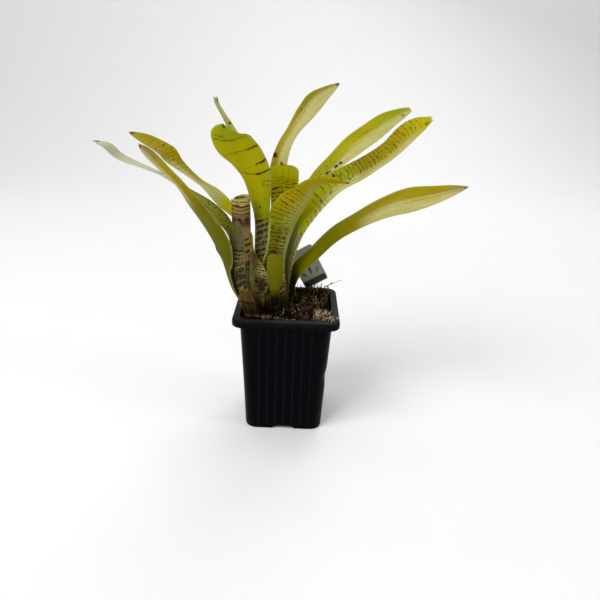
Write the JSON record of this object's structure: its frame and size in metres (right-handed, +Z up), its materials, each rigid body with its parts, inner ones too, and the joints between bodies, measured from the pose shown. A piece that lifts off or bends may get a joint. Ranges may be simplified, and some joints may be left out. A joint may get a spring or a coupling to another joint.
{
  "type": "potted bromeliad",
  "caption": "Small potted bromeliad: strap leaves in a tube-shaped rosette with a slim side shoot, in a square black nursery pot with a plant label.",
  "frame": {"origin": "centre of the pot's flat underside", "axes": "+Z up, +X to the viewer's right, +Y away from the viewer; the pot's front side faces -Y"},
  "size_m": [0.2356, 0.0741, 0.2265],
  "materials": {
    "pot": "thin semi-gloss black plastic",
    "potting_mix": "loose damp bark and peat",
    "label": "printed card tag with a satin face",
    "left_tube_leaf": "living leaf, smooth and slightly waxy",
    "left_scale_leaf": "living leaf, smooth and slightly waxy",
    "left_leaf_upper": "living leaf, smooth and slightly waxy",
    "left_leaf_far": "living leaf, smooth and slightly waxy",
    "left_leaf_near": "living leaf, smooth and slightly waxy",
    "left_outer_sheath": "living leaf, smooth and slightly waxy",
    "centre_leaf_broad": "living leaf, smooth and slightly waxy",
    "centre_leaf_banded": "living leaf, smooth and slightly waxy",
    "centre_leaf_back": "living leaf, smooth and slightly waxy",
    "centre_leaf_narrow": "living leaf, smooth and slightly waxy",
    "centre_leaf_short": "living leaf, smooth and slightly waxy",
    "right_leaf_upper": "living leaf, smooth and slightly waxy",
    "right_leaf_lower": "living leaf, smooth and slightly waxy",
    "right_leaf_long": "living leaf, smooth and slightly waxy",
    "centre_left_sheath": "living leaf, smooth and slightly waxy",
    "centre_right_sheath": "living leaf, smooth and slightly waxy",
    "centre_rear_sheath": "living leaf, smooth and slightly waxy",
    "front_short_leaf": "living leaf, smooth and slightly waxy",
    "bark": "rough dark bark",
    "moss": "dry fibrous moss",
    "thin_stake": "dry twig",
    "curled_root": "dry root",
    "dry_root": "dry root"
  },
  "bodies": {
    "root": {"pot": "pot", "potting_mix": "potting_mix", "plant_label": "label", "left_tube_leaf": "left_tube_leaf", "left_scale_leaf": "left_scale_leaf", "left_leaf_upper": "left_leaf_upper", "left_leaf_far": "left_leaf_far", "left_leaf_near": "left_leaf_near", "left_outer_sheath": "left_outer_sheath", "centre_leaf_broad": "centre_leaf_broad", "centre_leaf_banded": "centre_leaf_banded", "centre_leaf_back": "centre_leaf_back", "centre_leaf_narrow": "centre_leaf_narrow", "centre_leaf_short": "centre_leaf_short", "right_leaf_upper": "right_leaf_upper", "right_leaf_lower": "right_leaf_lower", "right_leaf_long": "right_leaf_long", "centre_left_sheath": "centre_left_sheath", "centre_right_sheath": "centre_right_sheath", "centre_rear_sheath": "centre_rear_sheath", "front_short_leaf": "front_short_leaf", "bark_chip_1": "bark", "bark_chip_2": "bark", "bark_chip_3": "bark", "bark_chip_4": "bark", "bark_chip_5": "bark", "moss_tuft": "moss", "thin_stake": "thin_stake", "curled_root": "curled_root", "dry_root": "dry_root"}
  },
  "joints": []
}
